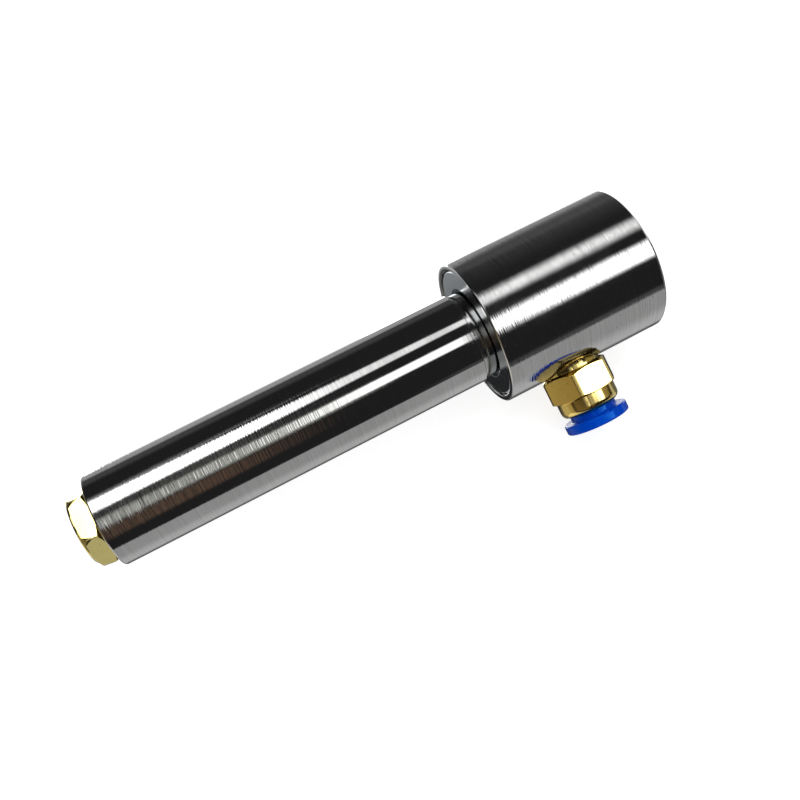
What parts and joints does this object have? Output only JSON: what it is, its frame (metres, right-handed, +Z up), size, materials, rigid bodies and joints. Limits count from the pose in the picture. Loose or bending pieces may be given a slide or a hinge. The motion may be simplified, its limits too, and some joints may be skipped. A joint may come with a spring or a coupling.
{
  "type": "vortex tube",
  "caption": "Vortex tube: turned steel air chamber with cold outlet, side push-in air inlet with release collar, thick hot tube and adjustable brass hot valve.",
  "frame": {"origin": "centre of the cold outlet's mouth, in the plane of the housing's cold end face", "axes": "+X along the common axis from the hot valve to the cold outlet, +Z up as it lies on its housing and collar rim, -Y the side with the air inlet"},
  "size_m": [0.1267, 0.0457, 0.032],
  "materials": {
    "housing": "turned and polished",
    "hot_tube": "turned and polished",
    "end_cap": "turned, satin",
    "rubber": "moulded",
    "machined_brass": "milled",
    "orifice_plastic": "turned",
    "brass": "turned and polished",
    "spring_steel": "stamped",
    "blue_plastic": "moulded, glossy"
  },
  "bodies": {
    "tube_body": {"housing": "housing", "hot_tube": "hot_tube", "end_cap": "end_cap", "cap_seal": "rubber", "pilot_seal": "rubber", "generator_seal": "rubber", "inlet_seal": "rubber", "tube_seal": "rubber", "vortex_generator": "machined_brass", "cold_orifice": "orifice_plastic", "flow_straightener": "machined_brass", "inlet_fitting": "brass", "seal_spacer": "machined_brass", "grab_ring": "spring_steel"},
    "valve_carriage": {"valve_seal": "rubber"},
    "valve": {"hot_valve": "brass"},
    "collar": {"release_collar": "blue_plastic"}
  },
  "joints": [
    {"name": "valve_travel", "type": "slide", "parent": "tube_body", "child": "valve_carriage", "axis": [-1, 0, 0], "range_m": [0, 0.0025]},
    {"name": "valve_turn", "type": "hinge", "parent": "valve_carriage", "child": "valve", "pos_m": [-0.1221, 0, 0], "axis": [-1, 0, 0], "range_deg": [0, 900]},
    {"name": "collar_press", "type": "slide", "parent": "tube_body", "child": "collar", "axis": [0, 0.9479, 0.3186], "range_m": [0, 0.001], "stiffness_N_per_m": 500}
  ],
  "couplings": [
    {"joint": "valve_turn", "follows": "valve_travel", "rad_per_m": 6283}
  ]
}
